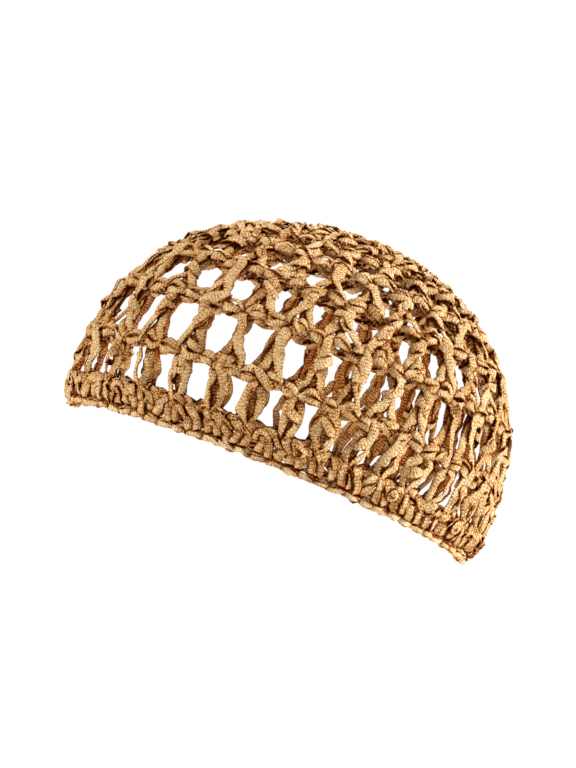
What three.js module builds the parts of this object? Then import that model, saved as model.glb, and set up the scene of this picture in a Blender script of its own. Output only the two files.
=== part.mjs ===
import * as THREE from 'three';

// A crocheted hair snood in the form it takes when worn: a dome of flat ribbon yarn, worked in rounds
// from the crown out to the rim. Millimetres, +Z up, the front towards -X. The origin is the middle of
// the rim's opening.

const snoodLength = 200; // front to back over the yarn
const snoodWidth = 164; // side to side over the yarn
const snoodHeight = 118.5; // from the rim's plane to the outside of the crown
const wornTilt = THREE.MathUtils.degToRad(22); // the front sits higher than the back

const widestHeight = 18; // above the rim's plane
const rimTuck = 4.2; // the rim is this much nearer the axis than the widest part
const domeFullness = 2.4; // 2 is an ellipse, more is squarer at the shoulder
const sideArch = 10.5; // the rim rises at both sides
const archRoundingShare = 0.06; // rounds the arch off at the front and the back
const archFade = 2.6; // how late the arch dies out towards the crown
const crownShift = 5; // the top leans back
const crownShiftOnset = 6; // more keeps the lean to the uppermost rounds

const chainThickness = 4.4; // wall through a chain ring
const chainEdgeThickness = 3; // the same wall at the ring's upper and lower edges
const chainHeight = 6.2; // a chain ring along the wall
const postThickness = 3.4; // wall through a post, and through the crown between its rings
const postSideThickness = 2.2; // a post's rounded sides
const postFootWidth = 9.2; // the two strands of a post spread where they enter the ring below
const postWaistWidth = 5.2; // and cross halfway up
const postHeadWidth = 7.4; // and meet the ring above side by side
const bandKnotThickness = 5; // the rim band at a stitch
const bandValleyThickness = 3.6; // and between two stitches
const bandStitchCount = 36; // doubled stitches round the band
const edgeHeight = 3.3; // the chain edge under the band
const edgeThickness = 4.2; // wall through the edge
const edgeStitchCount = 72; // facets round the edge
const crownSpokes = 30; // facets round the crown
const startRingRadius = 8.4; // the ring that the first round is worked into
const startHoleRadius = 2.8;
const startRingSides = 16;
const clearance = 0.3; // between neighbouring rounds

// The open rounds from the rim up. ringAt places the middle of the round's chain ring, as a share of
// the way from the rim to the middle of the crown. turn moves the posts on by a share of their spacing,
// frontEase is how much wider than average they stand at the front, and draw is how far their feet
// are drawn towards the middle of each side, in millimetres.
const openRounds = [
  { name: 'mesh_round_1', ringAt: 0.067, posts: 36, turn: 0.45, frontEase: 0.25, draw: 5.5 },
  { name: 'mesh_round_2', ringAt: 0.206, posts: 32, turn: 0.9, frontEase: 0.2, draw: 3 },
  { name: 'mesh_round_3', ringAt: 0.368, posts: 29, turn: 0.8, frontEase: 0.2, draw: 1.5 },
  { name: 'mesh_round_4', ringAt: 0.504, posts: 25, turn: 0, frontEase: 0.1, draw: 0 },
];

// The chain rings of the close rounds, as the same share
const crownRings = [
  { ringAt: 0.62 },
  { ringAt: 0.723 },
  { ringAt: 0.82 },
  { ringAt: 0.9 },
];

// The dome's middle surface

const halfLength = (snoodLength - chainThickness) / 2;
const halfWidth = (snoodWidth - chainThickness) / 2;
const meanRadius = (halfLength + halfWidth) / 2;
const domeHeight = snoodHeight - chainThickness / 2;

// Half of the dome's outline, from the rim to the middle of the crown: x is the reach from the axis,
// y the height
class Meridian extends THREE.Curve {
  getPoint(t) {
    const turn = t * Math.PI / 2;
    const height = domeHeight * Math.sin(turn);
    if (height < widestHeight) {
      const depth = (widestHeight - height) / widestHeight;
      return new THREE.Vector2(meanRadius - rimTuck * depth ** 1.6, height);
    }
    const rise = (height - widestHeight) / (domeHeight - widestHeight);
    return new THREE.Vector2(meanRadius * Math.sqrt(Math.max(0, 1 - rise ** domeFullness)), height);
  }
}

const meridian = new Meridian();
meridian.arcLengthDivisions = 600;
const meridianLength = meridian.getLength();
const plan = new THREE.EllipseCurve(0, 0, halfLength, halfWidth, 0, 2 * Math.PI, true);
plan.arcLengthDivisions = 600;
const planLength = plan.getLength();

// around is a share of the way round from the back past the left side, up a share of the way from the
// rim to the middle of the crown
function middlePoint(around, up) {
  const outline = meridian.getPointAt(THREE.MathUtils.clamp(up, 0, 1));
  const reach = outline.x / meanRadius;
  const side = plan.getPointAt(((around % 1) + 1) % 1);
  const sideways = side.y / halfWidth;
  const arch = sideArch * sideways ** 2 / Math.sqrt(sideways ** 2 + archRoundingShare);
  const height = outline.y / domeHeight;
  return new THREE.Vector3(
    side.x * reach + crownShift * height ** crownShiftOnset,
    side.y * reach,
    outline.y + arch * (1 - height ** archFade)
  );
}

function outward(around, up) {
  const step = 0.002;
  const along = middlePoint(around + step, up).sub(middlePoint(around - step, up));
  const upward = middlePoint(around, up + step / 2).sub(middlePoint(around, up - step / 2));
  return upward.cross(along).normalize();
}

function onDome(around, up, out) {
  return middlePoint(around, up).addScaledVector(outward(around, up), out);
}

// Lengths on the wall as shares of the way round at a level, or of the way up
function aroundShare(length, up) {
  return length * meanRadius / (planLength * meridian.getPointAt(up).x);
}

function upShare(length) {
  return length / meridianLength;
}

// A closed wall on a grid of columns round the dome and levels up it. filled(column, level) says
// where a cell of the grid is yarn, and corner(column, level) gives a grid point's around, up and
// thickness.
function gridWall(columns, levels, filled, corner) {
  const positions = [];
  const faces = [];
  const numbers = new Map();

  function vertex(column, level, side) {
    const key = `${column % columns} ${level} ${side}`;
    if (!numbers.has(key)) {
      const { around, up, thickness } = corner(column % columns, level);
      numbers.set(key, positions.length / 3);
      positions.push(...onDome(around, up, side * thickness / 2).toArray());
    }
    return numbers.get(key);
  }

  function quad(a, b, c, d) {
    faces.push(a, b, c, a, c, d);
  }

  // The cell's edge from one grid point to the next, closed between the outside and the inside
  function edge(from, to) {
    quad(vertex(...from, 1), vertex(...to, 1), vertex(...to, -1), vertex(...from, -1));
  }

  function isYarn(column, level) {
    if (level < 0 || level >= levels - 1) return false;
    return filled((column + columns) % columns, level);
  }

  for (let level = 0; level < levels - 1; level++) {
    for (let column = 0; column < columns; column++) {
      if (!isYarn(column, level)) continue;
      const lowerLeft = [column, level];
      const upperLeft = [column, level + 1];
      const upperRight = [column + 1, level + 1];
      const lowerRight = [column + 1, level];
      const cell = [lowerLeft, upperLeft, upperRight, lowerRight];
      quad(...cell.map((point) => vertex(...point, 1)));
      quad(...cell.reverse().map((point) => vertex(...point, -1)));
      if (!isYarn(column - 1, level)) edge(upperLeft, lowerLeft);
      if (!isYarn(column + 1, level)) edge(lowerRight, upperRight);
      if (!isYarn(column, level - 1)) edge(lowerLeft, lowerRight);
      if (!isYarn(column, level + 1)) edge(upperRight, upperLeft);
    }
  }

  const geometry = new THREE.BufferGeometry();
  geometry.setAttribute('position', new THREE.Float32BufferAttribute(positions, 3));
  geometry.setIndex(faces);
  geometry.computeVertexNormals();
  return geometry;
}

const everywhere = () => true;

// The pieces

function ribbonYarn(colour) {
  return new THREE.MeshStandardMaterial({ color: colour, roughness: 0.62, metalness: 0 });
}

const snood = new THREE.Group();

function addPiece(name, geometry, colour) {
  const piece = new THREE.Mesh(geometry, ribbonYarn(colour));
  piece.name = name;
  snood.add(piece);
}

function postCentre(round, post) {
  const even = (post + round.turn) / round.posts;
  return even - round.frontEase / (2 * Math.PI) * Math.sin(2 * Math.PI * even);
}

// A chain ring with its posts standing on it, up to just under the ring above
function openRound(round, ringAbove) {
  const halfChain = upShare(chainHeight / 2);
  const ringTop = round.ringAt + halfChain;
  const postTop = ringAbove.ringAt - halfChain - upShare(clearance);
  const postMiddle = (ringTop + postTop) / 2;
  const chain = chainThickness;
  const chainEdge = chainEdgeThickness;
  const post = postThickness;
  const postSide = postSideThickness;
  const levels = [
    { up: round.ringAt - halfChain, width: postFootWidth, middle: chainEdge, side: chainEdge, lean: 0.5 },
    { up: round.ringAt, width: postFootWidth, middle: chain, side: chain, lean: 0.5 },
    { up: ringTop, width: postFootWidth, middle: post, side: chainEdge, lean: 0.5 },
    { up: postMiddle, width: postWaistWidth, middle: post, side: postSide, lean: 0 },
    { up: postTop, width: postHeadWidth, middle: post, side: postSide, lean: -0.5 },
  ];
  const columnsPerPost = 4; // left side, middle and right side of a post, then the middle of the gap
  const gapColumn = 3;

  function corner(column, level) {
    const number = Math.floor(column / columnsPerPost);
    const place = column % columnsPerPost;
    const { up, width, middle, side, lean } = levels[level];
    const drawn = (around) => around + aroundShare(round.draw * lean * Math.sin(4 * Math.PI * around), up);
    const centre = postCentre(round, number);
    if (place === gapColumn) {
      const gapMiddle = (centre + postCentre(round, number + 1)) / 2;
      return { around: drawn(gapMiddle), up, thickness: side };
    }
    const sideways = aroundShare((place - 1) * width / 2, up);
    return { around: drawn(centre) + sideways, up, thickness: place === 1 ? middle : side };
  }

  const filled = (column, level) => level < 2 || column % columnsPerPost < 2;
  return gridWall(round.posts * columnsPerPost, levels.length, filled, corner);
}

openRounds.forEach((round, i) => {
  const ringAbove = i + 1 < openRounds.length ? openRounds[i + 1] : crownRings[0];
  addPiece(round.name, openRound(round, ringAbove), i % 2 ? 0xc4924c : 0xb98543);
});

// The close rounds in the middle of the crown, one wall with its rings raised
function crown() {
  const halfChain = upShare(chainHeight / 2);
  const innerEdge = 1 - upShare(startRingRadius + clearance);
  const lowest = crownRings[0].ringAt;
  const levels = [
    { up: lowest - halfChain, thickness: chainEdgeThickness },
    { up: lowest, thickness: chainThickness },
    { up: lowest + halfChain, thickness: chainEdgeThickness },
  ];
  crownRings.slice(1).forEach((ring, i) => {
    levels.push({ up: (crownRings[i].ringAt + ring.ringAt) / 2, thickness: postThickness });
    levels.push({ up: ring.ringAt, thickness: chainThickness });
  });
  levels.push({ up: innerEdge, thickness: chainEdgeThickness });
  const corner = (column, level) => ({ around: column / crownSpokes, ...levels[level] });
  return gridWall(crownSpokes, levels.length, everywhere, corner);
}

addPiece('crown', crown(), 0xbf8b48);

// The ring at the very middle, which the first round is worked into
function startRing() {
  const levels = [
    { up: 1 - upShare(startRingRadius), thickness: chainEdgeThickness },
    { up: 1 - upShare((startRingRadius + startHoleRadius) / 2), thickness: chainThickness },
    { up: 1 - upShare(startHoleRadius), thickness: chainEdgeThickness },
  ];
  const corner = (column, level) => ({ around: column / startRingSides, ...levels[level] });
  return gridWall(startRingSides, levels.length, everywhere, corner);
}

addPiece('start_ring', startRing(), 0xb07c3c);

// The dense round that grips, thick at each stitch and thinner between two
function rimBand() {
  const bottom = upShare(edgeHeight + clearance);
  const top = openRounds[0].ringAt - upShare(chainHeight / 2 + clearance);
  const columns = bandStitchCount * 2;
  const levels = [
    { up: bottom, bulge: 0 },
    { up: (2 * bottom + top) / 3, bulge: 1 },
    { up: (bottom + 2 * top) / 3, bulge: 1 },
    { up: top, bulge: 0 },
  ];
  function corner(column, level) {
    const { up, bulge } = levels[level];
    const full = column % 2 ? bandValleyThickness : bandKnotThickness;
    return { around: column / columns, up, thickness: bulge ? full : chainEdgeThickness };
  }
  return gridWall(columns, levels.length, everywhere, corner);
}

addPiece('rim_band', rimBand(), 0xb17f3e);

// The chain-stitch edge under the band
function edgeChain() {
  const levels = [
    { up: 0, thickness: edgeThickness },
    { up: upShare(edgeHeight), thickness: edgeThickness },
  ];
  const corner = (column, level) => ({ around: column / edgeStitchCount, ...levels[level] });
  return gridWall(edgeStitchCount, levels.length, everywhere, corner);
}

addPiece('edge_chain', edgeChain(), 0xc8964f);

// Tipped back as worn
const worn = new THREE.Group();
snood.rotation.y = wornTilt;
worn.add(snood);

export default worn;
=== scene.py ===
import math
import bpy
import numpy as np
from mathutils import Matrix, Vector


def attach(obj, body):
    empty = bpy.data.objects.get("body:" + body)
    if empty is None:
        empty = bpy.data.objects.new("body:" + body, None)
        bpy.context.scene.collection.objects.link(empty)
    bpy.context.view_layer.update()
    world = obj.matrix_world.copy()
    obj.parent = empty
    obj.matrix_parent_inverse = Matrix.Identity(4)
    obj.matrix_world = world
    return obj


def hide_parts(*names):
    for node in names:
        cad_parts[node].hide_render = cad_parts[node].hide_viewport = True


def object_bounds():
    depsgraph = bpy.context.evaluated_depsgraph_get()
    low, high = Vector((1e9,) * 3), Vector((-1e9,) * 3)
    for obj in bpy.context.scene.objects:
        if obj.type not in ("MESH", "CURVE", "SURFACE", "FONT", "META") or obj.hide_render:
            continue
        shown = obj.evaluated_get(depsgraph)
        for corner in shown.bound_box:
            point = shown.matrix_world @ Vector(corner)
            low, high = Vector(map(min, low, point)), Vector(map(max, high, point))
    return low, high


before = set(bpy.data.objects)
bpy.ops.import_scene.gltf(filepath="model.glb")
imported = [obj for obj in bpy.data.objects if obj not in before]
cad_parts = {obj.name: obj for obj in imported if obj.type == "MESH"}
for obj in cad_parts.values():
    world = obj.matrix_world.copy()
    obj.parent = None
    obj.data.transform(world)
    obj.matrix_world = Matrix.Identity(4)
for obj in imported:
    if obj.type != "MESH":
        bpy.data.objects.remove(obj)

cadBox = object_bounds()
chance = np.random.default_rng(22)
print("frame loaded, box", cadBox)

# Lengths are in millimetres until a mesh is made. around is a share of the way round from the back past the
# left side, up a share of the way from the rim to the middle of the crown.

# The dome that the net is stretched over

dome = {
    "length": 200.0,  # front to back over the yarn
    "width": 164.0,
    "height": 118.5,  # from the rim's plane to the outside of the crown
    "tilt": math.radians(22),  # the front sits higher than the back
    "widestHeight": 18.0,
    "rimTuck": 4.2,  # how much nearer the axis the rim is than the widest part
    "tuckRounding": 1.6,
    "fullness": 2.4,  # 2 is an ellipse, more is squarer at the shoulder
    "sideArch": 10.5,  # the rim rises at both sides
    "archRounding": 0.06,  # rounds the arch off at the front and the back
    "archFade": 2.6,  # how late the arch dies out towards the crown
    "crownShift": 5.0,  # the top leans back
    "crownShiftOnset": 6,
    "wall": 4.4,
}

halfLength = (dome["length"] - dome["wall"]) / 2
halfWidth = (dome["width"] - dome["wall"]) / 2
meanRadius = (halfLength + halfWidth) / 2
domeHeight = dome["height"] - dome["wall"] / 2


def outlineTable(steps=1200):
    height = domeHeight * np.sin(np.linspace(0, math.pi / 2, steps))
    widest = dome["widestHeight"]
    depth = np.clip((widest - height) / widest, 0, 1)
    rise = np.clip((height - widest) / (domeHeight - widest), 0, 1)
    reach = np.where(height < widest, meanRadius - dome["rimTuck"] * depth ** dome["tuckRounding"],
                     meanRadius * np.sqrt(1 - rise ** dome["fullness"]))
    run = np.concatenate([[0], np.cumsum(np.hypot(np.diff(height), np.diff(reach)))])
    return run, reach / meanRadius, height


def planTable(steps=2401):
    turn = np.linspace(0, 2 * math.pi, steps)
    x, y = halfLength * np.cos(turn), -halfWidth * np.sin(turn)
    run = np.concatenate([[0], np.cumsum(np.hypot(np.diff(x), np.diff(y)))])
    return run, x, y


outlineRun, outlineReach, outlineHeight = outlineTable()
planRun, planX, planY = planTable()
outlineLength = outlineRun[-1]
planLength = planRun[-1]

# Where the dome closes, a strand goes round at least this share of the rim's length
leastReach = 0.02
# The wall's directions at a point are taken between points this far from it
alongStep, upwardStep = 0.002, 0.004


def girthAt(up):
    reach = np.interp(np.clip(up, 0, 1) * outlineLength, outlineRun, outlineReach)
    return planLength * np.maximum(reach, leastReach)


def middleSurface(around, up):
    run = np.clip(up, 0, 1) * outlineLength
    reach = np.interp(run, outlineRun, outlineReach)
    height = np.interp(run, outlineRun, outlineHeight)
    below = np.minimum(up, 0) * outlineLength  # just under the rim the wall goes straight down
    x = np.interp(np.mod(around, 1) * planLength, planRun, planX)
    y = np.interp(np.mod(around, 1) * planLength, planRun, planY)
    sideways = y / halfWidth
    arch = dome["sideArch"] * sideways ** 2 / np.sqrt(sideways ** 2 + dome["archRounding"])
    level = height / domeHeight
    lean = dome["crownShift"] * level ** dome["crownShiftOnset"]
    rise = height + below + arch * (1 - level ** dome["archFade"])
    return np.stack([x * reach + lean, y * reach, rise], axis=-1)


def unit(v):
    return v / np.maximum(np.linalg.norm(v, axis=-1, keepdims=True), 1e-9)


def tipBack(v):
    cosine, sine = math.cos(dome["tilt"]), math.sin(dome["tilt"])
    x, y, z = v[..., 0], v[..., 1], v[..., 2]
    return np.stack([x * cosine + z * sine, y, z * cosine - x * sine], axis=-1)


def wallFrame(around, up):
    point = middleSurface(around, up)
    along = unit(middleSurface(around + alongStep, up) - middleSurface(around - alongStep, up))
    above, below = np.minimum(up + upwardStep, 1), up - upwardStep
    upward = unit(middleSurface(around, above) - middleSurface(around, below))
    outward = unit(np.cross(upward, along))
    return tipBack(point), tipBack(along), tipBack(upward), tipBack(outward)


# Ribbon yarn: a flat knitted tape with rolled edges

yarn = {
    "width": 6.0,  # laid flat
    "thickness": 0.85,
    "step": 1.1,  # between two sections of the mesh
    "sink": 0.5,  # how much deeper the strands lie than their tables say
    "driftLength": 3.2,  # how soon the drifts below change
    "placeDrift": 0.24,  # how much the strand wanders
    "widthDrift": 0.13,  # how much each border wanders, as a share
    "twistDrift": 0.22,  # how much the flat side turns, in radians
    "cupping": 0.10,  # how much the borders roll up or down
    "swaying": 0.14,  # how much the tape bends into an S
    "creasing": 0.12,  # how much it folds along its middle
    "toneDrift": 0.6,
}

# The tape's section: across as a share of half the width, deep as a share of half the thickness, and the
# way its surface faces there
tapeSection = np.array([
    # across, deep, faces across, faces out
    (-1.00, -0.15, -1.0, 0.0),
    (-0.94, 0.70, -0.6, 0.8),
    (-0.74, 1.00, 0.0, 1.0),
    (-0.26, 0.74, 0.0, 1.0),
    (0.26, 0.74, 0.0, 1.0),
    (0.74, 1.00, 0.0, 1.0),
    (0.94, 0.70, 0.6, 0.8),
    (1.00, -0.15, 1.0, 0.0),
    (0.72, -0.85, 0.3, -0.9),
    (-0.72, -0.85, -0.3, -0.9),
])
cornerCount = len(tapeSection)


def drift(count, amount, closed, step):
    knots = max(4, int(round(count * step / yarn["driftLength"])) + 1)
    values = chance.normal(0, amount, knots)
    if closed:
        values[-1] = values[0]
    return np.interp(np.linspace(0, knots - 1, count), np.arange(knots), values)


def throughRows(padded, step):
    # Catmull-Rom between the second row and the last but one; the first three columns are the place
    pieces = []
    for i in range(1, len(padded) - 2):
        a, b, c, d = padded[i - 1:i + 3]
        parts = max(1, int(math.ceil(np.linalg.norm(c[:3] - b[:3]) / step)))
        t = (np.arange(parts) / parts)[:, None]
        pieces.append(0.5 * (2 * b + (c - a) * t + (2 * a - 5 * b + 4 * c - d) * t ** 2
                             + (3 * b - a - 3 * c + d) * t ** 3))
    return np.vstack(pieces)


def strand(rows, aroundAt, upAt, closed=False, tone=0.0, curl=0.0, step=yarn["step"]):
    # rows: mm along the round, mm up the wall, mm out of it, width, thickness, and where the flat side faces
    rows = np.asarray(rows, float)
    if closed:
        samples = throughRows(np.vstack([rows[-1], rows, rows[0], rows[1]]), step)
    else:
        samples = throughRows(np.vstack([2 * rows[0] - rows[1], rows, 2 * rows[-1] - rows[-2]]), step)
        samples = np.vstack([samples, rows[-1]])
    up = upAt + samples[:, 1] / outlineLength
    around = aroundAt + samples[:, 0] / girthAt(up)
    return {"around": around, "up": up, "samples": samples, "closed": closed, "tone": tone, "curl": curl,
            "step": step}


def smoothed(values, closed):
    if closed:
        return np.roll(values, 1, axis=0) + 2 * values + np.roll(values, -1, axis=0)
    ends = np.vstack([values[:1], values, values[-1:]])
    return ends[:-2] + 2 * ends[1:-1] + ends[2:]


def tapeGeometry(laid):
    around, up, samples, closed = laid["around"], laid["up"], laid["samples"], laid["closed"]
    count = len(samples)

    def wander(amount):
        return drift(count, amount, closed, laid["step"])[:, None]

    point, along, upward, outward = wallFrame(around, up)
    place = (point + outward * (samples[:, 2, None] - yarn["sink"] + wander(0.5 * yarn["placeDrift"]))
             + along * wander(yarn["placeDrift"]) + upward * wander(yarn["placeDrift"]))
    if closed:
        tangent = unit(np.roll(place, -1, axis=0) - np.roll(place, 1, axis=0))
    else:
        tangent = unit(np.gradient(place, axis=0))
    facing = along * samples[:, 5:6] + upward * samples[:, 6:7] + outward * samples[:, 7:8]
    for _ in range(2):
        facing = smoothed(facing - tangent * np.sum(facing * tangent, axis=1, keepdims=True), closed)
    facing = unit(facing - tangent * np.sum(facing * tangent, axis=1, keepdims=True))
    across = np.cross(tangent, facing)
    turn = wander(yarn["twistDrift"])
    facing, across = (facing * np.cos(turn) + across * np.sin(turn),
                      across * np.cos(turn) - facing * np.sin(turn))
    halfWide, halfThick = samples[:, 3, None] / 2, samples[:, 4, None] / 2
    share, deep = tapeSection[None, :, 0], tapeSection[None, :, 1]
    borders = np.where(share < 0, wander(yarn["widthDrift"]), wander(yarn["widthDrift"]))
    reach = halfWide * share * (1 + borders)
    bend = ((laid["curl"] + wander(yarn["cupping"])) * (share ** 2 - 0.35)
            + wander(yarn["swaying"]) * (share ** 3 - 0.6 * share)
            + wander(yarn["creasing"]) * (0.4 - np.abs(share)))
    lift = halfThick * deep + halfWide * bend
    points = place[:, None, :] + across[:, None, :] * reach[..., None] + facing[:, None, :] * lift[..., None]
    normals = unit(across[:, None, :] * tapeSection[None, :, 2, None]
                   + facing[:, None, :] * tapeSection[None, :, 3, None])
    run = np.concatenate([[0], np.cumsum(np.linalg.norm(np.diff(place, axis=0), axis=1))])
    rings = np.arange(count if closed else count - 1)
    nextRing = (rings + 1) % count
    corners = np.arange(cornerCount)
    nextCorner = (corners + 1) % cornerCount
    faces = np.stack([
        rings[:, None] * cornerCount + corners, nextRing[:, None] * cornerCount + corners,
        nextRing[:, None] * cornerCount + nextCorner, rings[:, None] * cornerCount + nextCorner,
    ], axis=-1).reshape(-1, 4).tolist()
    if not closed:
        last = (count - 1) * cornerCount
        faces.append(list(range(cornerCount)))
        faces.append([last + corner for corner in reversed(range(cornerCount))])
    volume = np.repeat(samples[:, 3] * samples[:, 4] * run[-1] / count / cornerCount, cornerCount)
    return {
        "outward": outward, "points": points.reshape(-1, 3), "normals": normals.reshape(-1, 3),
        "faces": faces, "volume": volume, "across": reach.reshape(-1), "run": np.repeat(run, cornerCount),
        "edge": np.tile(np.abs(tapeSection[:, 0]), count),
        "tone": np.repeat(laid["tone"] + wander(yarn["toneDrift"]), cornerCount),
    }


# How closely the yarn lies in front of each point, which is painted as shade in the folds and between
# strands. Its volume is summed in cells and blurred, then read near the point and farther out.

crowd = {"cell": 1.2, "margin": 8, "near": 1.5, "far": 3.2, "nearShare": 0.6, "inside": 0.08, "depth": 2.4}
crowdBlur = ((-2, 0.05), (-1, 0.24), (0, 0.42), (1, 0.24), (2, 0.05))


class Crowding:
    def __init__(self, points, volumes):
        cell = crowd["cell"]
        self.low = points.min(axis=0) - crowd["margin"]
        self.shape = np.ceil((points.max(axis=0) + crowd["margin"] - self.low) / cell).astype(int)
        index = ((points - self.low) / cell).astype(int)
        flat = np.ravel_multi_index(index.T, self.shape)
        grid = np.bincount(flat, weights=volumes, minlength=int(np.prod(self.shape)))
        grid = grid.reshape(self.shape) / cell ** 3
        for axis in range(3):
            grid = sum(share * np.roll(grid, shift, axis) for shift, share in crowdBlur)
        self.grid = grid

    def at(self, points):
        spot = (points - self.low) / crowd["cell"] - 0.5
        base = np.clip(np.floor(spot).astype(int), 0, np.array(self.shape) - 2)
        part = np.clip(spot - base, 0, 1)
        total = 0
        for corner in range(8):
            bits = np.array([corner & 1, corner >> 1 & 1, corner >> 2 & 1])
            weight = np.prod(np.where(bits, part, 1 - part), axis=1)
            total = total + weight * self.grid[tuple((base + bits).T)]
        return total


# The rounds

# ringAt is the middle of the chain ring under each round of posts. turn moves the posts on by a share of
# their spacing, frontEase widens their spacing at the front, and draw pulls their feet towards the middle
# of each side.
rounds = [
    {"name": "mesh_round_1", "ringAt": 0.067, "posts": 36, "turn": 0.45, "frontEase": 0.25, "draw": 5.5},
    {"name": "mesh_round_2", "ringAt": 0.206, "posts": 32, "turn": 0.9, "frontEase": 0.2, "draw": 3.0},
    {"name": "mesh_round_3", "ringAt": 0.368, "posts": 29, "turn": 0.8, "frontEase": 0.2, "draw": 1.5},
    {"name": "mesh_round_4", "ringAt": 0.504, "posts": 25, "turn": 0.0, "frontEase": 0.1, "draw": 0.0},
    {"name": "crown_round_1", "ringAt": 0.62, "posts": 20, "turn": 0.3, "frontEase": 0.0, "draw": 0.0},
    {"name": "crown_round_2", "ringAt": 0.723, "posts": 14, "turn": 0.6, "frontEase": 0.0, "draw": 0.0},
    {"name": "crown_round_3", "ringAt": 0.82, "posts": 9, "turn": 0.1, "frontEase": 0.0, "draw": 0.0},
    {"name": "crown_round_4", "ringAt": 0.9, "posts": 6, "turn": 0.5, "frontEase": 0.0, "draw": 0.0},
]
middleRingAt = 0.965
openRounds = 4


def eased(share, ease):
    return share - ease / (2 * math.pi) * np.sin(2 * math.pi * share)


def postPlaces(entry):
    return eased((np.arange(entry["posts"]) + entry["turn"]) / entry["posts"], entry["frontEase"])


# A ring is pulled up where a post of its own round stands on it and down where a post hangs from it
ringPull = {"height": 1.5, "spread": 3.6}


def ringUp(index, around):
    ringAt = rounds[index]["ringAt"] if index < len(rounds) else middleRingAt
    pull = 0
    for sign, other in ((1, index), (-1, index - 1)):
        if 0 <= other < len(rounds):
            gap = np.asarray(around)[..., None] - postPlaces(rounds[other])
            gap = (gap - np.round(gap)) * girthAt(ringAt)
            pull = pull + sign * np.sum(np.exp(-(gap / ringPull["spread"]) ** 2), axis=-1)
    return ringAt + ringPull["height"] * pull / outlineLength


# One chain stitch: s in shares of its pitch along the ring, t up in lobes, n out in mm, width and thickness
# as shares of the flat tape's, and where the flat side faces
chainStitch = [
    # s, t, n, width, thickness, along, upward, outward
    (-0.22, 0.30, -1.2, 0.50, 1.1, 0.0, 0.5, 0.8),
    (0.10, 0.50, 0.8, 0.52, 1.1, -0.5, 0.4, 0.9),
    (0.55, 1.05, 1.6, 0.74, 1.0, 0.0, 0.4, 1.0),
    (1.00, 0.80, 0.5, 0.62, 1.0, 0.4, 0.6, 0.8),
    (1.24, 0.00, -0.6, 0.50, 1.1, 1.0, 0.0, 0.5),
    (1.00, -0.80, 0.4, 0.62, 1.0, 0.4, -0.6, 0.8),
    (0.55, -1.05, 1.4, 0.74, 1.0, 0.0, -0.4, 1.0),
    (0.10, -0.50, 0.6, 0.52, 1.1, -0.5, -0.4, 0.9),
    (-0.22, -0.30, -1.2, 0.50, 1.1, 0.0, -0.5, 0.8),
    (0.30, -0.20, -2.2, 0.60, 1.0, 0.0, 0.0, -1.0),
]


# How much the stitches of a chain ring differ. tiltRise is how far a tilted stitch rises, as a share.
chainDrift = {"tiltsUp": 0.6, "leastTilt": 0.6, "moreTilt": 0.6, "tiltRise": 0.5, "size": 0.35, "out": 0.5,
              "width": 0.08, "faceAlong": 0.25, "faceUp": 0.2}


def chainRing(form, upOf, ease=0.0):
    # The whole ring is one closed tape
    shares = eased(np.arange(form["stitches"] + 1) / form["stitches"], ease)
    girth = girthAt(float(np.mean(upOf(shares))))
    cosine, sine = math.cos(form["roll"]), math.sin(form["roll"])
    rows = []
    for k in range(form["stitches"]):
        pitch = (shares[k + 1] - shares[k]) * girth
        tilt = form["tilt"] * (1 if chance.random() < chainDrift["tiltsUp"] else -1)
        tilt *= chainDrift["leastTilt"] + chainDrift["moreTilt"] * chance.random()
        size = 1 + chance.normal(0, form["uneven"] * chainDrift["size"])
        lift = chance.normal(0, form["uneven"])
        out = chance.normal(0, form["uneven"] * chainDrift["out"])
        for s, t, n, width, thickness, faceAlong, faceUp, faceOut in chainStitch:
            beside, above = (s - 0.5) * pitch, t * form["lobe"] * size
            beside, above = (beside * math.cos(tilt) - above * math.sin(tilt),
                             beside * math.sin(tilt) * chainDrift["tiltRise"] + above * math.cos(tilt) + lift)
            above, outside = (above * cosine - n * sine * form["depth"],
                              above * sine + n * cosine * form["depth"])
            rows.append([
                shares[k] * girth + 0.5 * pitch + beside, above, outside + out,
                yarn["width"] * width * form["scale"] * (1 + chance.normal(0, chainDrift["width"])),
                yarn["thickness"] * thickness * form["thickness"],
                faceAlong + chance.normal(0, chainDrift["faceAlong"]),
                faceUp * cosine - faceOut * sine + chance.normal(0, chainDrift["faceUp"]),
                faceUp * sine + faceOut * cosine,
            ])
    rows = np.array(rows)
    whole = np.array([girth, 0, 0, 0, 0, 0, 0, 0])
    samples = throughRows(np.vstack([rows[-1] - whole, rows, rows[0] + whole, rows[1] + whole]), form["step"])
    around = samples[:, 0] / girth
    return {"around": around, "up": upOf(around) + samples[:, 1] / outlineLength, "samples": samples,
            "closed": True, "tone": 0.0, "curl": form["curl"], "step": form["step"]}


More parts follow.
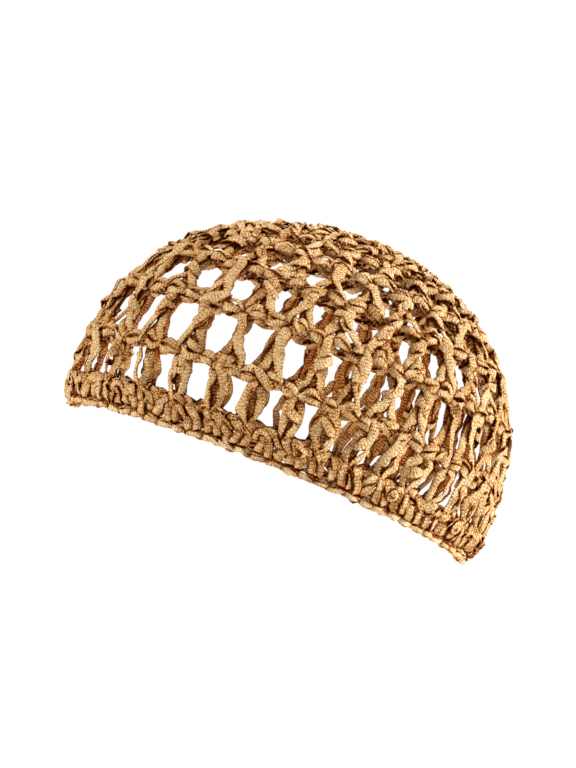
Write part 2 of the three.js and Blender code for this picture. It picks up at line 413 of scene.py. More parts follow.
# The strands of one post, seen from outside. f runs from the ring below (0) to the ring above (1), t adds
# millimetres to it, s is to the side and n outwards.
postForms = {
    # comes out under the upper ring and runs down into the left leg
    "frontLeg": [
        # s, f, t, n, width, thickness, along, upward, outward
        (1.0, 1, 1.5, -1.2, 0.66, 1.1, 0.0, 0.6, 0.8),
        (0.9, 1, -1.6, 0.9, 0.84, 1.0, 0.0, 0.3, 1.0),
        (0.6, 1, -4.2, 2.2, 1.02, 1.0, 0.1, 0.0, 1.0),
        (0.0, 0.62, 0, 2.1, 1.08, 1.0, 0.15, 0.0, 1.0),
        (-1.4, 0.42, 0, 1.8, 0.96, 1.0, -0.1, 0.0, 1.0),
        (-3.4, 0.22, 0, 1.7, 0.84, 1.0, -0.3, 0.0, 1.0),
        (-5.0, 0.04, 1.0, 1.7, 0.74, 1.1, -0.3, -0.2, 1.0),
        (-5.6, 0, -1.9, 0.3, 0.62, 1.1, -0.2, -1.0, 0.3),
        (-5.2, 0, -1.0, -1.8, 0.60, 1.1, 0.0, -0.4, -1.0),
    ],
    # loops over the upper ring before it runs down
    "overLeg": [
        (0.6, 1, 1.2, -1.8, 0.70, 1.1, 0.0, 0.4, -1.0),
        (0.5, 1, 3.6, 0.4, 0.76, 1.0, 0.0, 1.0, 0.2),
        (0.4, 1, 1.2, 2.9, 0.84, 1.0, 0.0, 0.3, 1.0),
        (0.2, 1, -2.8, 2.6, 1.00, 1.0, 0.0, 0.0, 1.0),
        (-0.4, 0.60, 0, 2.0, 1.04, 1.0, 0.15, 0.0, 1.0),
        (-1.6, 0.40, 0, 1.6, 0.92, 1.0, -0.1, 0.0, 1.0),
        (-3.6, 0.20, 0, 1.5, 0.80, 1.0, -0.3, 0.0, 1.0),
        (-5.0, 0.04, 0.6, 1.5, 0.70, 1.1, -0.3, -0.2, 1.0),
        (-5.4, 0, -2.0, 0.3, 0.60, 1.1, -0.2, -1.0, 0.3),
        (-5.0, 0, -1.0, -1.8, 0.60, 1.1, 0.0, -0.4, -1.0),
    ],
    "backLeg": [
        (-1.5, 1, 1.0, -1.8, 0.70, 1.1, 0.0, 0.3, 1.0),
        (-1.4, 1, -2.6, -0.3, 0.88, 1.0, -0.3, 0.0, 1.0),
        (-0.6, 0.70, 0, 0.3, 0.98, 1.0, -0.3, 0.0, 1.0),
        (0.9, 0.46, 0, 0.5, 0.94, 1.0, 0.2, 0.0, 1.0),
        (3.0, 0.24, 0, 1.1, 0.86, 1.0, 0.3, 0.0, 1.0),
        (4.6, 0.05, 0.8, 1.5, 0.76, 1.0, 0.4, -0.2, 1.0),
        (5.2, 0, -1.9, 0.3, 0.62, 1.1, 0.2, -1.0, 0.3),
        (4.8, 0, -1.0, -1.8, 0.60, 1.1, 0.0, -0.4, -1.0),
    ],
    # the strand between the legs, seen from its inner side
    "core": [
        (0.4, 1, -1.0, -1.6, 0.70, 1.0, 0.3, 0.0, 1.0),
        (0.9, 0.66, 0, -1.3, 0.80, 1.0, 0.6, 0.0, 1.0),
        (0.2, 0.40, 0, -0.9, 0.90, 1.0, 0.2, 0.0, 1.0),
        (-0.4, 0.18, 0, -0.5, 0.94, 1.0, -0.3, 0.0, 1.0),
        (-0.2, 0, 0.6, -0.6, 0.80, 1.0, 0.0, 0.0, 1.0),
        (0.0, 0, -2.4, -1.4, 0.60, 1.0, 0.0, -0.6, 0.8),
    ],
    # the yarn-over that crosses a post
    "wrap": [
        (-1.0, 0.36, 0, -1.4, 0.66, 1.0, 0.0, 0.0, -1.0),
        (-3.2, 0.42, 0, 0.4, 0.70, 1.0, -1.0, 0.0, 0.3),
        (-1.4, 0.51, 0, 2.9, 0.84, 1.0, -0.2, 0.0, 1.0),
        (1.4, 0.62, 0, 2.9, 0.84, 1.0, 0.2, 0.0, 1.0),
        (3.2, 0.70, 0, 0.6, 0.70, 1.0, 1.0, 0.0, 0.3),
        (1.0, 0.75, 0, -1.4, 0.66, 1.0, 0.0, 0.0, -1.0),
    ],
    # the lowest round: broad under the ring, open in the middle, and pinched where it enters the band
    "leafRight": [
        (1.2, 1, 1.5, -1.2, 0.66, 1.1, 0.0, 0.6, 0.8),
        (1.4, 1, -1.8, 0.9, 0.84, 1.0, 0.1, 0.3, 1.0),
        (1.9, 1, -4.6, 2.0, 1.00, 1.0, 0.2, 0.0, 1.0),
        (2.7, 0.62, 0, 1.9, 0.96, 1.0, 0.4, 0.0, 1.0),
        (2.9, 0.42, 0, 1.7, 0.84, 1.0, 0.6, 0.0, 1.0),
        (2.0, 0.22, 0, 1.5, 0.72, 1.0, 0.6, 0.0, 0.9),
        (0.9, 0.03, 0, 1.5, 0.66, 1.1, 0.4, 0.0, 0.9),
        (0.5, 0, -2.6, 1.4, 0.64, 1.1, 0.0, -0.2, 1.0),
        (0.5, 0, -4.6, -0.6, 0.60, 1.1, 0.0, -1.0, 0.0),
    ],
    "leafOver": [
        (0.8, 1, 1.2, -1.8, 0.70, 1.1, 0.0, 0.4, -1.0),
        (0.8, 1, 3.6, 0.4, 0.76, 1.0, 0.0, 1.0, 0.2),
        (0.9, 1, 1.2, 2.9, 0.84, 1.0, 0.0, 0.3, 1.0),
        (1.3, 1, -3.0, 2.6, 1.00, 1.0, 0.1, 0.0, 1.0),
        (2.4, 0.62, 0, 2.0, 1.00, 1.0, 0.4, 0.0, 1.0),
        (2.8, 0.40, 0, 1.7, 0.84, 1.0, 0.6, 0.0, 1.0),
        (1.9, 0.20, 0, 1.5, 0.72, 1.0, 0.6, 0.0, 0.9),
        (0.8, 0.03, 0, 1.5, 0.66, 1.1, 0.4, 0.0, 0.9),
        (0.4, 0, -2.6, 1.4, 0.64, 1.1, 0.0, -0.2, 1.0),
        (0.5, 0, -4.6, -0.6, 0.60, 1.1, 0.0, -1.0, 0.0),
    ],
    "leafLeft": [
        (-1.4, 1, 1.0, -1.6, 0.70, 1.1, 0.0, 0.3, 1.0),
        (-1.6, 1, -2.6, 0.2, 0.90, 1.0, -0.2, 0.0, 1.0),
        (-2.6, 0.68, 0, 0.9, 0.92, 1.0, -0.4, 0.0, 1.0),
        (-3.2, 0.44, 0, 1.2, 0.80, 1.0, -0.6, 0.0, 0.9),
        (-2.3, 0.22, 0, 1.5, 0.70, 1.0, -0.6, 0.0, 0.9),
        (-0.9, 0.04, 0, 1.9, 0.64, 1.1, -0.3, 0.0, 1.0),
        (-0.4, 0, -2.4, 1.8, 0.62, 1.1, 0.0, -0.2, 1.0),
        (-0.6, 0, -4.6, -0.6, 0.60, 1.1, 0.0, -1.0, 0.0),
    ],
    "leafCore": [
        (0.2, 1, -1.0, -1.4, 0.76, 1.0, 0.3, 0.0, 1.0),
        (-0.3, 0.70, 0, -0.9, 0.96, 1.0, 0.4, 0.0, 1.0),
        (-0.9, 0.48, 0, -0.6, 0.98, 1.0, -0.2, 0.0, 1.0),
        (-0.9, 0.26, 0, -0.4, 0.76, 1.0, -0.4, 0.0, 1.0),
        (-0.2, 0.05, 0, -0.2, 0.62, 1.0, 0.0, 0.0, 1.0),
        (0.0, 0, -3.0, -0.8, 0.60, 1.0, 0.0, -0.6, 0.8),
    ],
}
# Painted shade: the strands that lie behind are darker, the cores most
postBackShade = {"core": -3.2, "leafCore": -3.0, "backLeg": -0.9, "leafLeft": -0.4}

# How much the posts differ. A pair is a middle value and its drift.
postDrift = {
    "spread": (1.12, 0.12),
    "width": (0.76, 0.11),
    "curl": (-0.15, 0.21),
    "tone": 0.45,
    "strandTone": 0.3,
    "lean": 0.7,
    "rise": 0.03,  # as a share of the post's height
    "place": 0.3,
    "out": 0.25,
    "thickness": 0.06,
    "faceAlong": 0.2,
    "faceUp": 0.1,
}


def postStrands(index, post, forms, scale):
    entry = rounds[index]
    centre = postPlaces(entry)[post]
    lower, upper = ringUp(index, centre), ringUp(index + 1, centre)
    height = (upper - lower) * outlineLength
    mirror = -1 if chance.random() < 0.5 else 1
    spread = scale * chance.normal(*postDrift["spread"])
    tone = chance.normal(0, postDrift["tone"])
    lean = chance.normal(0, postDrift["lean"])
    strands = []
    for form in forms:
        rows = []
        for s, f, t, n, width, thickness, faceAlong, faceUp, faceOut in postForms[form]:
            if 0.1 < f < 0.9:
                f += chance.normal(0, postDrift["rise"])
            drawn = entry["draw"] * (0.5 - f) * math.sin(4 * math.pi * centre)
            bowed = lean * math.sin(math.pi * min(max(f, 0), 1))
            rows.append([
                mirror * s * spread + bowed + drawn + chance.normal(0, postDrift["place"]),
                f * height + t * scale + chance.normal(0, postDrift["place"]),
                n + chance.normal(0, postDrift["out"]),
                yarn["width"] * width * scale * chance.normal(*postDrift["width"]),
                yarn["thickness"] * thickness * (1 + chance.normal(0, postDrift["thickness"])),
                mirror * faceAlong + chance.normal(0, postDrift["faceAlong"]),
                faceUp + chance.normal(0, postDrift["faceUp"]), faceOut,
            ])
        toneAndShade = tone + postBackShade.get(form, 0) + chance.normal(0, postDrift["strandTone"])
        strands.append(strand(rows, centre, lower, tone=toneAndShade, curl=chance.normal(*postDrift["curl"])))
    return strands


# A short flat stitch, closed round what it holds. s is in shares of its lean to the side, t of its height
# and n of its reach outwards.
flatStitch = [
    # s, t, n, width, upward, outward
    (-1.0, -0.50, 0.25, 0.84, -1.0, 0.3),
    (-0.8, -0.34, 1.00, 1.00, -0.1, 1.0),
    (0.0, 0.00, 1.05, 1.04, 0.0, 1.0),
    (0.8, 0.34, 1.00, 1.00, 0.1, 1.0),
    (1.0, 0.50, 0.25, 0.84, 1.0, 0.3),
    (0.5, 0.26, -0.80, 0.80, 0.3, -1.0),
    (-0.5, -0.26, -0.80, 0.80, -0.3, -1.0),
]

# How much the flat stitches differ, and how thin they are as a share of the tape
flatDrift = {"leastLean": 0.5, "above": 0.5, "tall": 0.10, "out": 0.3, "width": 0.12, "turn": 0.3,
             "tone": 0.45, "curl": (-0.04, 0.10)}
flatThickness = 0.85


def flatLoop(form, around, upAt):
    lean = form["lean"] * (flatDrift["leastLean"] + chance.random())
    lean *= 1 if chance.random() < form["leansRight"] else -1
    beside, above = chance.normal(0, form["stray"]), chance.normal(0, flatDrift["above"])
    tall = form["tall"] * (1 + chance.normal(0, flatDrift["tall"]))
    out = form["out"] + chance.normal(0, flatDrift["out"])
    wide = form["width"] * (1 + chance.normal(0, flatDrift["width"]))
    turn = chance.normal(0, flatDrift["turn"])
    rows = [[beside + s * lean, above + t * tall, n * out, wide * width, flatThickness * yarn["thickness"],
             turn, faceUp, faceOut] for s, t, n, width, faceUp, faceOut in flatStitch]
    return strand(rows, around, upAt, closed=True, tone=chance.normal(form["tone"], flatDrift["tone"]),
                  curl=chance.normal(*flatDrift["curl"]), step=form["step"])


# A flat stitch over the ring where a post meets it
def ringKnots(index, form):
    return [flatLoop(form, around, float(ringUp(index, around))) for around in postPlaces(rounds[index])
            if chance.random() < form["share"]]


# Short upright stitches side by side
def bandLoops(form):
    return [flatLoop(form, (k + form["offset"]) / form["count"], form["at"]) for k in range(form["count"])]


# Curls of tape between the feet of the posts
def bandCurls(form):
    strands = []
    entry = rounds[0]
    feet = postPlaces(entry)
    for k in range(entry["posts"]):
        if chance.random() > form["share"]:
            continue
        centre = (feet[k] + (feet[(k + 1) % entry["posts"]] + (k + 1 == entry["posts"]))) / 2
        centre += chance.normal(0, form["stray"]) / planLength
        size = 1 + chance.normal(0, form["sizeDrift"])
        kind = form["spiral"] if chance.random() < form["spiralShare"] else form["hook"]
        start = math.pi * chance.normal(*form["start"])
        mirror = -1 if chance.random() < 0.5 else 1
        rows = []
        for step in range(kind["steps"] + 1):
            share = step / kind["steps"]
            angle = start - 2 * math.pi * kind["turns"] * share
            reach = size * (1 - kind["tightening"] * share)
            rows.append([
                mirror * form["halfWidth"] * reach * math.cos(angle), form["rise"] * reach * math.sin(angle),
                form["out"] + kind["climb"] * share + chance.normal(0, form["outDrift"]),
                form["width"] * (1 + chance.normal(0, form["widthDrift"])), yarn["thickness"],
                form["dish"] * math.cos(angle) + chance.normal(0, form["faceDrift"]),
                form["dish"] * math.sin(angle) + chance.normal(0, form["faceDrift"]), 1.0,
            ])
        for end in kind["sunkEnds"]:
            rows[end][2] -= form["endSink"]
        strands.append(strand(rows, centre, form["at"], tone=chance.normal(0, form["toneDrift"]),
                              curl=form["curl"]))
    return strands


# The pieces' strands

edge = {"stitches": 74, "lobe": 1.12, "roll": -0.60, "tilt": 0.20, "uneven": 0.08, "scale": 0.66,
        "depth": 1.10, "thickness": 0.9, "curl": -0.05, "at": 0.0130, "step": 1.3}
edgeStrands = [chainRing(edge, lambda around: np.full(np.shape(around), edge["at"]))]

lowerBand = {"count": 120, "offset": 0.0, "at": 0.047, "tall": 7.6, "out": 2.3, "width": 3.5, "lean": 1.2,
             "leansRight": 0.7, "stray": 0.8, "tone": -0.2, "step": 2.4}
upperBand = {"count": 104, "offset": 0.5, "at": 0.070, "tall": 5.4, "out": 2.5, "width": 3.6, "lean": 2.2,
             "leansRight": 0.6, "stray": 1.0, "tone": -0.1, "step": 2.4}
curls = {
    "share": 0.45,  # of the places between two posts
    "spiralShare": 0.5,
    "spiral": {"turns": 1.5, "steps": 11, "tightening": 0.62, "climb": 0.8, "sunkEnds": (0,)},
    "hook": {"turns": 0.62, "steps": 5, "tightening": 0.0, "climb": 0.0, "sunkEnds": (0, -1)},
    "halfWidth": 2.9,
    "rise": 2.9,
    "out": 3.3,
    "width": 2.4,
    "at": 0.062,
    "start": (1.12, 0.12),  # in half turns
    "endSink": 1.6,
    "curl": -0.1,
    "dish": 0.3,  # how much the curl faces outwards from its own middle
    "stray": 0.8,
    "sizeDrift": 0.12,
    "outDrift": 0.15,
    "widthDrift": 0.08,
    "faceDrift": 0.2,
    "toneDrift": 0.5,
}
bandStrands = bandLoops(lowerBand) + bandLoops(upperBand) + bandCurls(curls)

netRing = {"stitchesPerPost": 2, "lobe": 2.0, "roll": 0.0, "tilt": 0.36, "uneven": 0.45, "scale": 0.80,
           "depth": 1.5, "thickness": 0.9, "curl": -0.05, "step": 1.5}
knot = {"share": 0.45, "tall": 6.8, "out": 2.0, "width": 3.6, "lean": 3.4, "leansRight": 0.5, "stray": 1.2,
        "tone": 0.1, "step": 2.2}
net = {"wrapShare": 0.6, "overShare": 0.4, "lowestLobe": 1.6}
crown = {"scale": 0.86, "wrapShare": 0.8, "frontShare": 0.6, "lobe": 1.9}


def roundRing(index, lobe):
    entry = rounds[index]
    form = dict(netRing, stitches=entry["posts"] * netRing["stitchesPerPost"], lobe=lobe)
    return chainRing(form, lambda around: ringUp(index, around), entry["frontEase"])


netStrands = []
for index in range(openRounds):
    strands = [roundRing(index, net["lowestLobe"] if index == 0 else netRing["lobe"])]
    for post in range(rounds[index]["posts"]):
        over = chance.random() < net["overShare"]
        if index == 0:
            forms = ["leafCore", "leafLeft", "leafOver" if over else "leafRight"]
        else:
            forms = ["core", "backLeg", "overLeg" if over else "frontLeg"]
        if chance.random() < net["wrapShare"]:
            forms.append("wrap")
        strands += postStrands(index, post, forms, 1.0)
    if index > 0:
        strands += ringKnots(index, knot)
    netStrands.append(strands)

crownStrands = []
for index in range(openRounds, len(rounds)):
    crownStrands.append(roundRing(index, crown["lobe"]))
    for post in range(rounds[index]["posts"]):
        forms = ["core", "backLeg", "frontLeg" if chance.random() < crown["frontShare"] else "overLeg"]
        if chance.random() < crown["wrapShare"]:
            forms.append("wrap")
        crownStrands += postStrands(index, post, forms, crown["scale"])

startRing = {"stitches": 7, "lobe": 1.6, "roll": 0.0, "tilt": 0.2, "uneven": 0.15, "scale": 0.75,
             "depth": 0.85, "thickness": 1.0, "curl": -0.05, "at": 0.962, "step": 1.3}
startStrands = [chainRing(startRing, lambda around: np.full(np.shape(around), startRing["at"]))]
print("strands laid")

# Yarn finish

# Shares of the way from deep brown in the folds to pale ochre on the crests. The ramp mixes the yarn's own
# tone with painted shade at its deep end and painted light at its pale end.
yarnToneAndShade = [
    (0.00, (0.110, 0.012, 0.002)),
    (0.20, (0.330, 0.078, 0.009)),
    (0.42, (0.450, 0.192, 0.034)),
    (0.65, (0.590, 0.365, 0.125)),
    (1.00, (0.790, 0.650, 0.420)),
]

# The pattern on the tape. Noise scales are in waves to the millimetre, and a pair is a slope and a start.
pattern = {
    "ribRounding": 0.9,
    "ribWander": 1.6,  # in pitches
    "wanderScale": 0.4,
    "columnPitch": 0.85,  # of the rows of small stitches, in millimetres
    "columnDepth": 0.16,
    "ribbingScale": 0.11,
    "ribbing": (2.2, -0.72),  # how strong the ribs are
    "ribbingLeast": 0.06,
    "ribbingMost": 0.36,
    "evening": (-0.5, 0.20),  # keeps strong ribs from being lighter on the whole
    "fibreScale": 2.0,
    "fibreRoughness": 0.7,
    "fibreShade": (2.9, -1.15),
    "fibreRelief": 1.5,
    "sideShadeScale": 0.16,
    "sideShade": (2.6, -1.3),  # painted light and shade: one border is lighter than the other
    "creaseScale": 0.42,
    "creaseStretch": 0.34,
    "creaseWander": 0.5,
    "creaseSlope": -14.0,
    "creaseDepth": -0.4,
    "facetSlope": -0.8,
    "bump": 0.0007,
}


def mathNode(tree, operation, *values):
    node = tree.nodes.new("ShaderNodeMath")
    node.operation = operation
    for socket, value in zip(node.inputs, values):
        if isinstance(value, (int, float)):
            socket.default_value = value
        else:
            tree.links.new(value, socket)
    return node.outputs[0]


def noiseNode(tree, vector, scale, detail, roughness=0.5):
    node = tree.nodes.new("ShaderNodeTexNoise")
    node.inputs["Scale"].default_value = scale
    node.inputs["Detail"].default_value = detail
    node.inputs["Roughness"].default_value = roughness
    tree.links.new(vector, node.inputs["Vector"])
    return node


def ribbedTapeGroup():
    # Cross ribs, rows of small stitches, and the creased facets of crumpled tape, all from the tape's own UV
    # map in millimetres. Its colour outputs also paint light and shade on the ribs, the creases and one
    # border.
    group = bpy.data.node_groups.new("ribbedTape", "ShaderNodeTree")
    for way, kind, names in (("INPUT", "NodeSocketFloat", ("Rib Pitch", "Relief")),
                             ("OUTPUT", "NodeSocketFloat", ("CrestLightAndSpeckle", "CreaseShade", "Facet", "SideShade")),
                             ("OUTPUT", "NodeSocketVector", ("Normal",))):
        for name in names:
            group.interface.new_socket(name=name, in_out=way, socket_type=kind)
    taken = group.nodes.new("NodeGroupInput")
    given = group.nodes.new("NodeGroupOutput")
    links = group.links
    uv = group.nodes.new("ShaderNodeUVMap")
    uv.uv_map = "ribbonWay"
    parts = group.nodes.new("ShaderNodeSeparateXYZ")
    links.new(uv.outputs["UV"], parts.inputs[0])
    wander = noiseNode(group, uv.outputs["UV"], pattern["wanderScale"], 1.0)
    smooth = noiseNode(group, uv.outputs["UV"], pattern["ribbingScale"], 1.0)
    fibre = noiseNode(group, uv.outputs["UV"], pattern["fibreScale"], 2.0, pattern["fibreRoughness"])
    slow = noiseNode(group, uv.outputs["UV"], pattern["sideShadeScale"], 0.0)

    ribs = mathNode(group, "DIVIDE", parts.outputs["Y"], taken.outputs["Rib Pitch"])
    bent = mathNode(group, "MULTIPLY_ADD", wander.outputs["Fac"], pattern["ribWander"], ribs)
    wave = mathNode(group, "SINE", mathNode(group, "MULTIPLY", bent, 2 * math.pi))
    rib = mathNode(group, "POWER", mathNode(group, "MULTIPLY_ADD", wave, 0.5, 0.5), pattern["ribRounding"])
    step = mathNode(group, "MULTIPLY", mathNode(group, "FLOOR", bent), 0.5)
    column = mathNode(group, "DIVIDE", parts.outputs["X"], pattern["columnPitch"])
    column = mathNode(group, "ADD", column, step)
    knit = mathNode(group, "ABSOLUTE", mathNode(group, "SINE", mathNode(group, "MULTIPLY", column, math.pi)))
    ribbing = mathNode(group, "MULTIPLY_ADD", smooth.outputs["Fac"], *pattern["ribbing"])
    ribbing = mathNode(group, "MINIMUM", ribbing, pattern["ribbingMost"])
    ribbing = mathNode(group, "MAXIMUM", ribbing, pattern["ribbingLeast"])
    knitted = mathNode(group, "MULTIPLY_ADD", knit, pattern["columnDepth"],
                       mathNode(group, "MULTIPLY", rib, ribbing))
    knitted = mathNode(group, "ADD", knitted, mathNode(group, "MULTIPLY_ADD", ribbing, *pattern["evening"]))
    # painted light and shade: the rib crests lighter and the grooves darker, with the fibres' own speckle
    crestLightAndSpeckle = mathNode(group, "ADD", knitted,
                     mathNode(group, "MULTIPLY_ADD", fibre.outputs["Fac"], *pattern["fibreShade"]))

    crumpled = group.nodes.new("ShaderNodeMixRGB")
    crumpled.inputs[0].default_value = pattern["creaseWander"]
    links.new(uv.outputs["UV"], crumpled.inputs[1])
    links.new(wander.outputs["Color"], crumpled.inputs[2])
    drawn = group.nodes.new("ShaderNodeVectorMath")
    drawn.operation = "MULTIPLY"
    drawn.inputs[1].default_value = (1.0, pattern["creaseStretch"], 1.0)
    links.new(crumpled.outputs[0], drawn.inputs[0])
    facets, borders = (group.nodes.new("ShaderNodeTexVoronoi") for _ in range(2))
    borders.feature = "DISTANCE_TO_EDGE"
    for voronoi in (facets, borders):
        voronoi.inputs["Scale"].default_value = pattern["creaseScale"]
        links.new(drawn.outputs[0], voronoi.inputs["Vector"])
    # the crease lines sink the relief and also darken the colour as painted shade
    crease = mathNode(group, "MULTIPLY_ADD", borders.outputs["Distance"], pattern["creaseSlope"], 1.0)
    crease = mathNode(group, "MAXIMUM", crease, 0.0)
    facet = group.nodes.new("ShaderNodeSeparateColor")
    links.new(facets.outputs["Color"], facet.inputs[0])

    relief = mathNode(group, "MULTIPLY_ADD", fibre.outputs["Fac"], pattern["fibreRelief"], knitted)
    relief = mathNode(group, "MULTIPLY_ADD", crease, pattern["creaseDepth"], relief)
    relief = mathNode(group, "MULTIPLY_ADD", facets.outputs["Distance"], pattern["facetSlope"], relief)
    bump = group.nodes.new("ShaderNodeBump")
    bump.inputs["Distance"].default_value = pattern["bump"]
    links.new(taken.outputs["Relief"], bump.inputs["Strength"])
    links.new(relief, bump.inputs["Height"])
    # painted light and shade: one border of the tape lighter, the other darker
    sideShade = mathNode(group, "MULTIPLY", parts.outputs["X"],
                     mathNode(group, "MULTIPLY_ADD", slow.outputs["Fac"], *pattern["sideShade"]))
    for name, socket in (("CrestLightAndSpeckle", crestLightAndSpeckle), ("CreaseShade", crease), ("Facet", facet.outputs[0]), ("SideShade", sideShade),
                         ("Normal", bump.outputs["Normal"])):
        links.new(socket, given.inputs[name])
    return group


tapeGroup = ribbedTapeGroup()

# What all the yarn shares: painted shade where tapes lie close together, and painted shade along their
# borders
contactShade = {"samples": 8, "reach": 0.0020, "power": 1.2}
borderShadePower = 4.0
patchScale = 170
glossTint = (1.0, 0.72, 0.42)


def tapeMaterial(name, finish):
    material = bpy.data.materials.new(name)
    material.use_nodes = True
    tree = material.node_tree
    shader = tree.nodes["Principled BSDF"]
    shader.inputs["Roughness"].default_value = finish["roughness"]
    shader.inputs["Specular IOR Level"].default_value = finish["gloss"]
    shader.inputs["Specular Tint"].default_value = (*glossTint, 1)
    tape = tree.nodes.new("ShaderNodeGroup")
    tape.node_tree = tapeGroup
    tape.inputs["Rib Pitch"].default_value = finish["ribPitch"]
    tape.inputs["Relief"].default_value = finish["relief"]
    given = {}
    for attribute in ("tone", "crowdShade", "edge"):
        node = tree.nodes.new("ShaderNodeAttribute")
        node.attribute_name = attribute
        given[attribute] = node.outputs["Fac"]
    place = tree.nodes.new("ShaderNodeTexCoord")
    patches = noiseNode(tree, place.outputs["Object"], patchScale, 2.0)
    # painted shade: ambient occlusion darkens the colour where tapes lie close together
    near = tree.nodes.new("ShaderNodeAmbientOcclusion")
    near.samples = contactShade["samples"]
    near.inputs["Distance"].default_value = contactShade["reach"]
    contactShadeMask = mathNode(tree, "POWER", mathNode(tree, "SUBTRACT", 1.0, near.outputs["AO"]), contactShade["power"])
    # painted shade: the tape's borders are darker
    borderShade = mathNode(tree, "POWER", given["edge"], borderShadePower)
    # The yarn's own tone mixed with painted light and shade picks the place on the ramp
    toneAndShade = finish["level"]
    for mask, share in ((tape.outputs["CrestLightAndSpeckle"], finish["crestLightAndSpeckle"]), (given["tone"], finish["tone"]),
                        (patches.outputs["Fac"], finish["patches"]), (given["crowdShade"], -finish["crowdShade"]),
                        (tape.outputs["Facet"], finish["facet"]), (tape.outputs["CreaseShade"], -finish["crease"]),
                        (tape.outputs["SideShade"], finish["sideShade"]), (contactShadeMask, -finish["contactShade"]),
                        (borderShade, -finish["edge"])):
        toneAndShade = mathNode(tree, "MULTIPLY_ADD", mask, share, toneAndShade)
    ramp = tree.nodes.new("ShaderNodeValToRGB")
    stops = ramp.color_ramp.elements
    stops[0].position, stops[0].color = yarnToneAndShade[0][0], (*yarnToneAndShade[0][1], 1)
    stops[1].position, stops[1].color = yarnToneAndShade[-1][0], (*yarnToneAndShade[-1][1], 1)
    for position, colour in yarnToneAndShade[1:-1]:
        stop = stops.new(position)
        stop.color = (*colour, 1)
    tree.links.new(toneAndShade, ramp.inputs["Fac"])
    tree.links.new(ramp.outputs["Color"], shader.inputs["Base Color"])
    tree.links.new(tape.outputs["Normal"], shader.inputs["Normal"])
    return material


baseFinish = {
    "roughness": 0.5, "gloss": 0.04, "ribPitch": 1.45, "relief": 1.0,
    # how much these lighten it: the level, the yarn's own tone, patches and facets, the fibre speckle with
    # painted light on the rib crests, and painted light on one border
    "level": -0.07, "crestLightAndSpeckle": 1.10, "tone": 0.10, "patches": 0.20, "facet": 0.10, "sideShade": 0.26,
    # how much these darken it, all as painted shade: in crowded folds, where tapes touch, in creases and
    # along the borders
    "crowdShade": 1.10, "contactShade": 2.30, "crease": 0.20, "edge": 0.40,
}
# Each piece sets its own level, and the band and the edge also set how strong their painted shade is
meshYarn = tapeMaterial("mesh_yarn", baseFinish)
crownYarn = tapeMaterial("crown_yarn", dict(baseFinish, level=-0.01))
bandYarn = tapeMaterial("band_yarn", dict(baseFinish, level=-0.10, crowdShade=1.5, contactShade=2.6))
edgeYarn = tapeMaterial("edge_yarn", dict(baseFinish, level=0.18, crestLightAndSpeckle=0.90, crowdShade=0.8, facet=0.25, tone=0.14,
                                          contactShade=3.2, edge=0.70))
print("finishes ready")

# The pieces

pieces = [
    {"name": "edge_chain_stitches", "strands": edgeStrands, "slot": "edge_yarn", "node": "edge_chain",
     "material": edgeYarn},
    {"name": "rim_band_stitches", "strands": bandStrands, "slot": "band_yarn", "node": "rim_band",
     "material": bandYarn},
]
for index in range(openRounds):
    pieces.append({"name": rounds[index]["name"] + "_yarn", "strands": netStrands[index], "slot": "mesh_yarn",
                   "node": rounds[index]["name"], "material": meshYarn})
pieces.append({"name": "crown_yarn_rounds", "strands": crownStrands, "slot": "crown_yarn", "node": "crown",
               "material": crownYarn})
pieces.append({"name": "start_ring_yarn", "strands": startStrands, "slot": "crown_yarn", "node": "start_ring",
               "material": crownYarn})

for piece in pieces:
    piece["tapes"] = [tapeGeometry(one) for one in piece["strands"]]
crowding = Crowding(np.vstack([tape["points"] for piece in pieces for tape in piece["tapes"]]),
                    np.concatenate([tape["volume"] for piece in pieces for tape in piece["tapes"]]))
print("folds measured")


def addPointValues(mesh, name, values):
    mesh.attributes.new(name, "FLOAT", "POINT").data.foreach_set("value", np.asarray(values, np.float32))


def weave(piece):
    tapes = piece["tapes"]
    points = np.vstack([tape["points"] for tape in tapes])
    normals = np.vstack([tape["normals"] for tape in tapes])
    faces, start = [], 0
    for tape in tapes:
        faces += [[index + start for index in face] for face in tape["faces"]]
        start += len(tape["points"])
    mesh = bpy.data.meshes.new(piece["name"])
    mesh.from_pydata((points / 1000).tolist(), [], faces)
    corners = np.empty(len(mesh.loops), np.int32)
    mesh.loops.foreach_get("vertex_index", corners)
    way = [np.concatenate([tape[key] for tape in tapes])[corners] for key in ("across", "run")]
    way = np.stack(way, axis=1)
    mesh.uv_layers.new(name="ribbonWay").data.foreach_set("uv", way.astype(np.float32).ravel())
    for key in ("tone", "edge"):
        addPointValues(mesh, key, np.concatenate([tape[key] for tape in tapes]))
    # painted shade, darker where yarn crowds in front of the point
    crowdShade = (crowd["nearShare"] * crowding.at(points + normals * crowd["near"])
            + (1 - crowd["nearShare"]) * crowding.at(points + normals * crowd["far"]))
    outward = np.vstack([np.repeat(tape["outward"], cornerCount, axis=0) for tape in tapes])
    # painted shade: surfaces that face into the dome are darker
    crowdShade += crowd["inside"] * (1 - np.sum(normals * outward, axis=1)) / 2
    addPointValues(mesh, "crowdShade", np.maximum(crowdShade, 0) ** crowd["depth"])
    made = bpy.data.objects.new(piece["name"], mesh)
    bpy.context.collection.objects.link(made)
    bpy.ops.object.select_all(action="DESELECT")
    made.select_set(True)
    bpy.context.view_layer.objects.active = made
    bpy.ops.object.shade_smooth()
    mesh.materials.append(piece["material"])
    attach(made, "root")
    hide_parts(piece["node"])
    triangles = sum(len(face) - 2 for face in faces)
    print(piece["name"], "woven,", triangles, "triangles")
    return triangles


total = sum(weave(piece) for piece in pieces)
print("all yarn,", total, "triangles")

# Studio

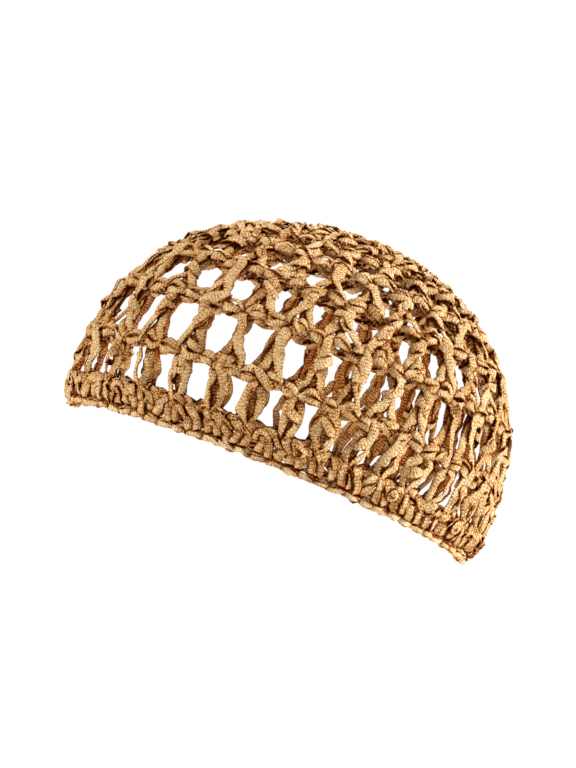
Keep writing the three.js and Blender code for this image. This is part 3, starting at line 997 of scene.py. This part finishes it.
# The camera is level and aims a little above the snood's middle. pixel is what one pixel of the picture
# covers there, in metres, and aimAbove is in pixels.
studio = {"distance": 1.35, "pixel": 0.000446, "pictureHeight": 768, "aimAbove": 10, "sensor": 36,
          "floorDrop": 0.30, "floorRadius": 1.4, "surround": (0.64, 0.54, 0.42)}
centre = [(low + high) / 2 for low, high in zip(*cadBox)]
bpy.ops.object.select_all(action="DESELECT")
bpy.ops.mesh.primitive_circle_add(vertices=96, radius=studio["floorRadius"], fill_type="NGON",
                                  location=(0, 0, cadBox[0][2] - studio["floorDrop"]))
floor = bpy.context.active_object
floor.name = "floor"
floorMaterial = bpy.data.materials.new("floor")
floorMaterial.use_nodes = True
floorShader = floorMaterial.node_tree.nodes["Principled BSDF"]
floorShader.inputs["Base Color"].default_value = (0.9, 0.9, 0.9, 1)
floorShader.inputs["Roughness"].default_value = 0.9
floor.data.materials.append(floorMaterial)

# The camera sees a white surround, and the yarn a dimmer one, so that its folds stay dark
world = bpy.data.worlds.new("studio")
bpy.context.scene.world = world
world.use_nodes = True
air = world.node_tree.nodes["Background"]
seen = world.node_tree.nodes.new("ShaderNodeLightPath")
dimmed = world.node_tree.nodes.new("ShaderNodeValToRGB")
dimmed.color_ramp.elements[0].color = (*studio["surround"], 1)
dimmed.color_ramp.elements[1].color = (1, 1, 1, 1)
world.node_tree.links.new(seen.outputs["Is Camera Ray"], dimmed.inputs["Fac"])
world.node_tree.links.new(dimmed.outputs["Color"], air.inputs["Color"])

lamps = [
    {"name": "leftLight", "place": (-1.45, -0.35, 0.85), "size": 0.2, "power": 30.0, "colour": (1, 1, 1)},
    {"name": "rightLight", "place": (1.55, -0.25, 0.45), "size": 0.5, "power": 47.0, "colour": (1, 1, 1)},
    {"name": "topLight", "place": (0.2, 0.6, 1.4), "size": 0.8, "power": 13.5, "colour": (1, 1, 1)},
    {"name": "lowLight", "place": (0.01, 0.0, -0.09), "size": 0.1, "power": 0.22,
     "colour": (1.0, 0.68, 0.42)},
]
for lamp in lamps:
    bpy.ops.object.light_add(type="AREA", location=lamp["place"])
    light = bpy.context.active_object
    light.name = lamp["name"]
    light.data.size = lamp["size"]
    light.data.energy = lamp["power"]
    light.data.color = lamp["colour"]
    light.visible_camera = False
    away = light.location.copy()
    away.x, away.y, away.z = (a - b for a, b in zip(lamp["place"], centre))
    light.rotation_euler = away.to_track_quat("Z", "Y").to_euler()

camera = bpy.data.cameras.new("camera")
camera.sensor_width = studio["sensor"]
camera.lens = camera.sensor_width * studio["distance"] / (studio["pictureHeight"] * studio["pixel"])
cameraObject = bpy.data.objects.new("camera", camera)
bpy.context.collection.objects.link(cameraObject)
cameraObject.location = (centre[0], centre[1] - studio["distance"],
                         centre[2] + studio["aimAbove"] * studio["pixel"])
cameraObject.rotation_euler = (math.pi / 2, 0, 0)
bpy.context.scene.camera = cameraObject
bpy.context.scene.view_settings.view_transform = "Standard"
print("studio ready")
